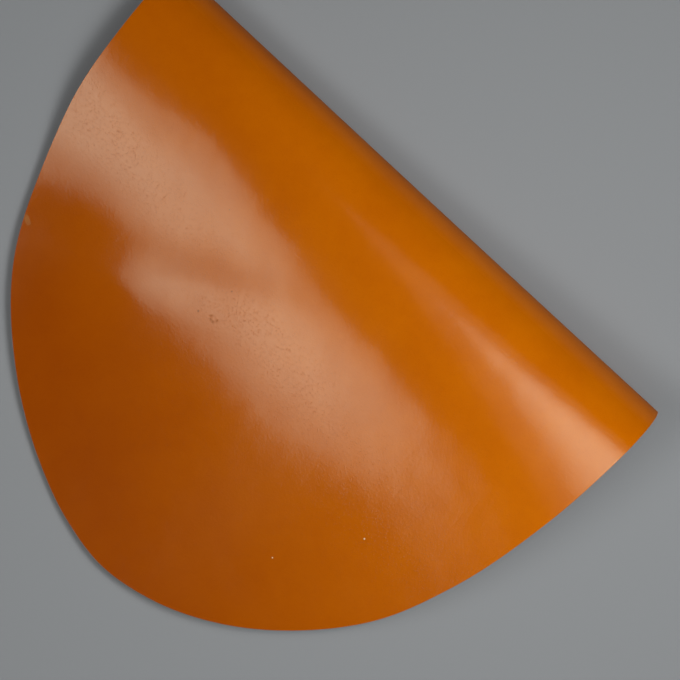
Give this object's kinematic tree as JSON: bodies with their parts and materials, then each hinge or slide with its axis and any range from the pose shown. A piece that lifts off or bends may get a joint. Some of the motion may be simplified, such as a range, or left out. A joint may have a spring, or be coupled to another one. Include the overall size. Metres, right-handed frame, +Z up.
{
  "type": "folded cordovan leather",
  "caption": "Oval cut piece of glazed cordovan leather, folded over once in a soft round bend and lying flat on its lower layer.",
  "frame": {"origin": "centre of the piece's box, on the surface that it lies on", "axes": "+X along the bend, +Y towards the outside of the bend, +Z up"},
  "size_m": [0.38, 0.2879, 0.053],
  "materials": {
    "glazed_leather": "glazed half-gloss, cognac"
  },
  "bodies": {
    "root": {"cordovan_leather": "glazed_leather"}
  },
  "joints": []
}
